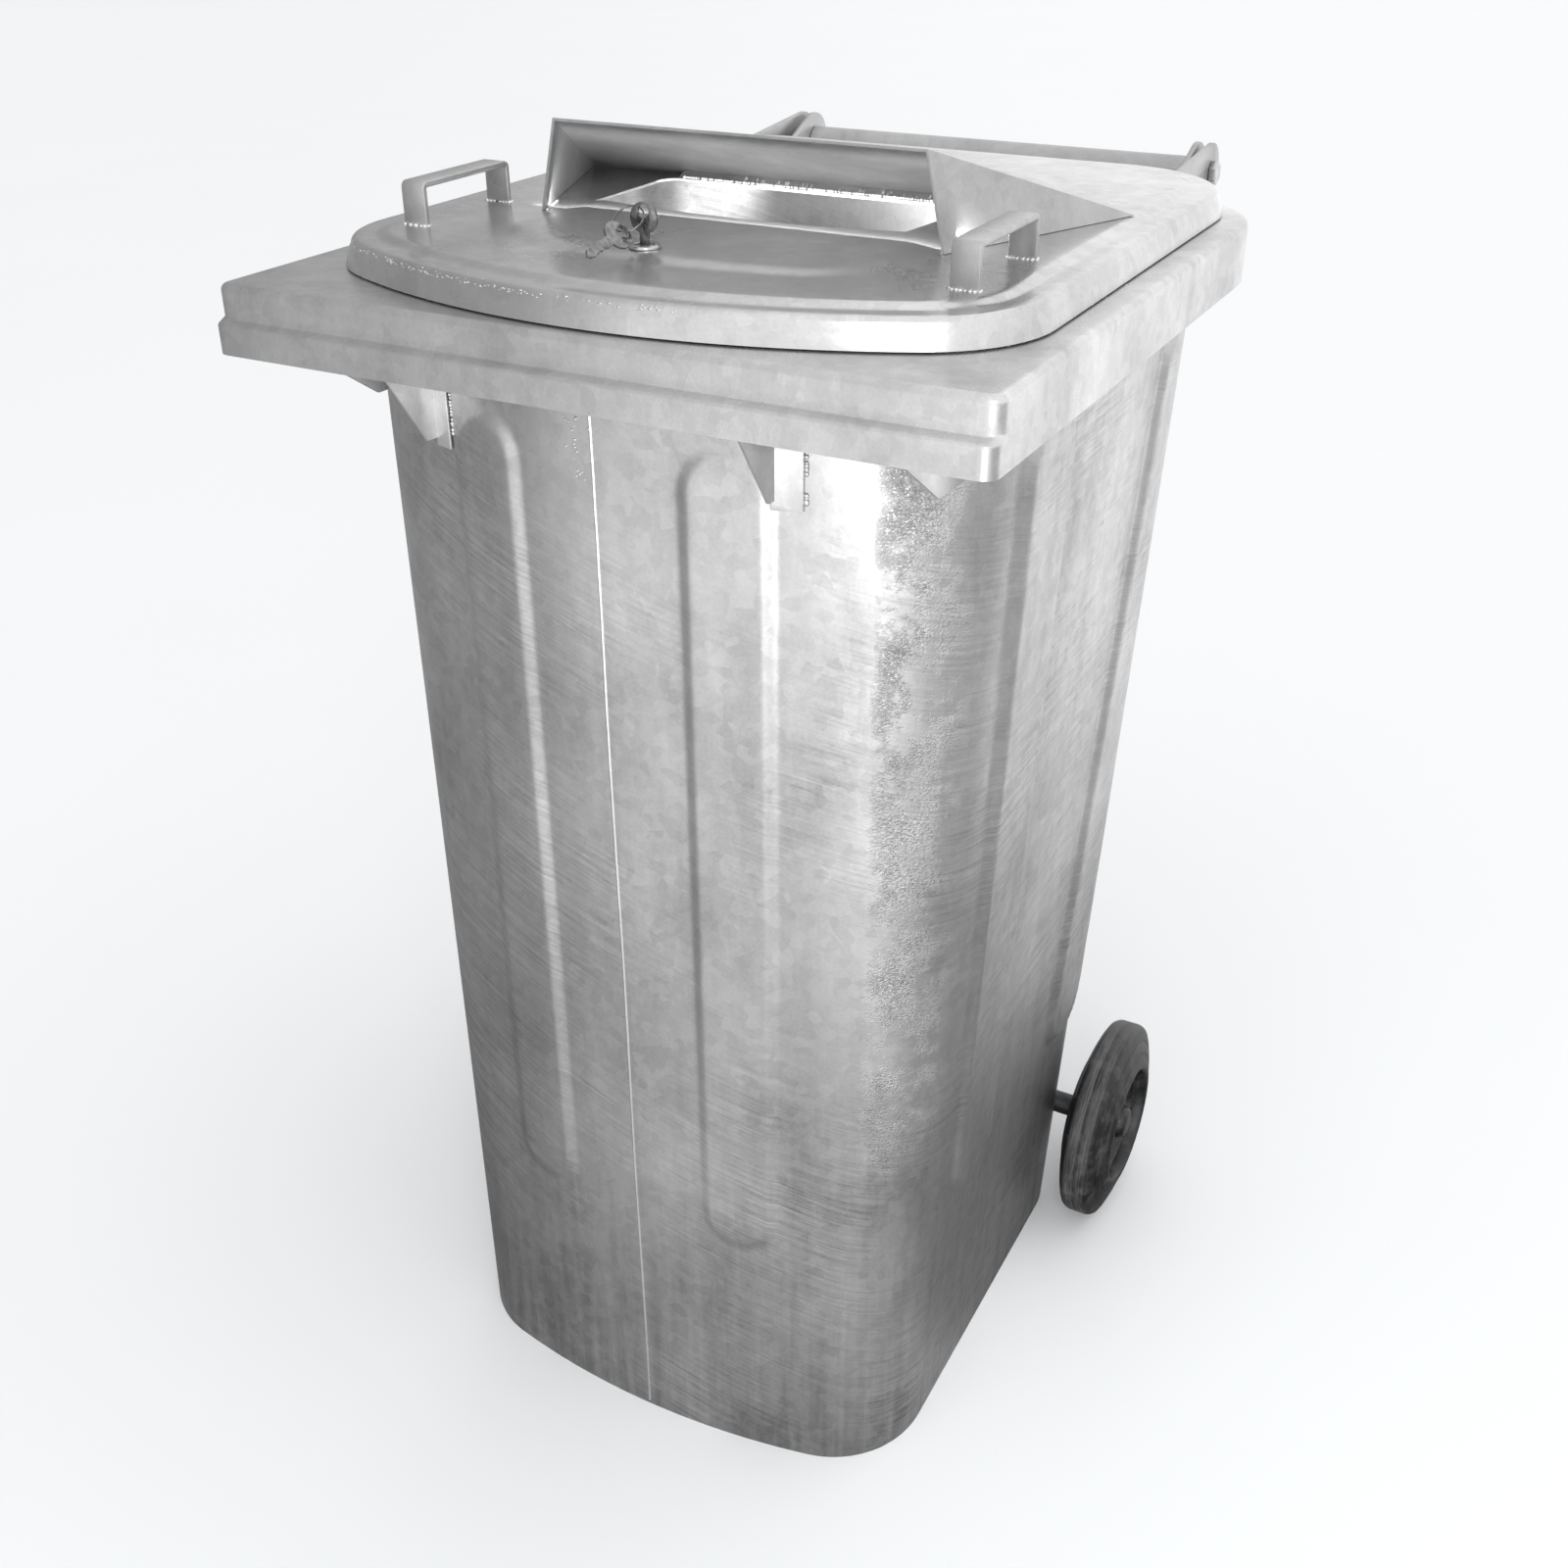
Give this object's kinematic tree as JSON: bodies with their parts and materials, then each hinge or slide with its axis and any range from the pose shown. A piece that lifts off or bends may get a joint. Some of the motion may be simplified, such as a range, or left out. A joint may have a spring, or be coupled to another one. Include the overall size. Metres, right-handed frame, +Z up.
{
  "type": "wheeled steel refuse bin",
  "caption": "Tapered galvanized refuse bin on wheels, with a stepped rim, a hinged lockable lid, a hooded paper slot, strap handles and a rear push bar.",
  "frame": {"origin": "on the floor, in the middle of the overall box", "axes": "+Z up, +X to the right seen from the front, +Y to the rear with the wheels and the push bar"},
  "size_m": [0.592, 0.7489, 1.0707],
  "materials": {
    "galvanized_steel": "hot-dip galvanized, satin with cloudy spangle",
    "zinc_plated_steel": "bright zinc plated",
    "nickel_plated_steel": "nickel plated, polished",
    "dull_steel": "dark, greasy steel",
    "black_rubber": "solid black rubber, dusty",
    "black_plastic": "moulded black plastic"
  },
  "bodies": {
    "bin_body": {"body_shell": "galvanized_steel", "floor_pan": "galvanized_steel", "rim_frame": "galvanized_steel", "lock_keeper": "galvanized_steel", "comb_rib_left_outer": "galvanized_steel", "comb_rib_left_inner": "galvanized_steel", "comb_rib_right_inner": "galvanized_steel", "comb_rib_right_outer": "galvanized_steel", "hinge_bar": "galvanized_steel", "hinge_bracket_left": "galvanized_steel", "hinge_bracket_right": "galvanized_steel", "hinge_bolt_left": "zinc_plated_steel", "hinge_bolt_right": "zinc_plated_steel", "hinge_nut_left": "zinc_plated_steel", "hinge_nut_right": "zinc_plated_steel", "hinge_spacer_left": "zinc_plated_steel", "hinge_spacer_right": "zinc_plated_steel", "axle": "dull_steel", "axle_bracket_left": "galvanized_steel", "axle_bracket_right": "galvanized_steel", "axle_collar_left": "dull_steel", "axle_collar_right": "dull_steel", "axle_washer_left": "dull_steel", "axle_washer_right": "dull_steel", "axle_cap_left": "black_plastic", "axle_cap_right": "black_plastic"},
    "lid": {"lid_shell": "galvanized_steel", "hood": "galvanized_steel", "lid_handle_left": "galvanized_steel", "lid_handle_right": "galvanized_steel", "lid_arm_left": "galvanized_steel", "lid_arm_right": "galvanized_steel", "lock_housing": "zinc_plated_steel", "lock_nut": "zinc_plated_steel"},
    "lock_cylinder": {"lock_plug": "nickel_plated_steel", "latch_tongue": "zinc_plated_steel", "tongue_nut": "zinc_plated_steel"},
    "key": {"key": "nickel_plated_steel"},
    "key_ring": {"key_ring": "nickel_plated_steel"},
    "spare_key": {"spare_key": "nickel_plated_steel"},
    "wheel_left": {"tyre_left": "black_rubber", "wheel_hub_left": "black_plastic"},
    "wheel_right": {"tyre_right": "black_rubber", "wheel_hub_right": "black_plastic"}
  },
  "joints": [
    {"name": "lid_hinge", "type": "hinge", "parent": "bin_body", "child": "lid", "pos_m": [0, 0.3495, 0.983], "axis": [-1, 0, 0], "range_deg": [0, 270]},
    {"name": "wheel_left_spin", "type": "hinge", "parent": "bin_body", "child": "wheel_left", "pos_m": [-0.271, 0.1139, 0.1], "axis": [1, 0, 0], "continuous": true},
    {"name": "wheel_right_spin", "type": "hinge", "parent": "bin_body", "child": "wheel_right", "pos_m": [0.271, 0.1139, 0.1], "axis": [1, 0, 0], "continuous": true},
    {"name": "lock_turn", "type": "hinge", "parent": "lid", "child": "lock_cylinder", "pos_m": [-0.02, -0.2375, 1], "axis": [0, 0, -1], "range_deg": [0, 90]},
    {"name": "key_pull", "type": "slide", "parent": "lock_cylinder", "child": "key", "axis": [0, 0, 1], "range_m": [0, 0.022]},
    {"name": "key_ring_swing", "type": "hinge", "parent": "key", "child": "key_ring", "pos_m": [-0.02, -0.2375, 1.0313], "axis": [-1, 0, 0], "range_deg": [0, 80]},
    {"name": "spare_key_swing", "type": "hinge", "parent": "key_ring", "child": "spare_key", "pos_m": [-0.0286, -0.25175, 1.01934], "axis": [-1, 0, 0], "range_deg": [0, 60]}
  ]
}
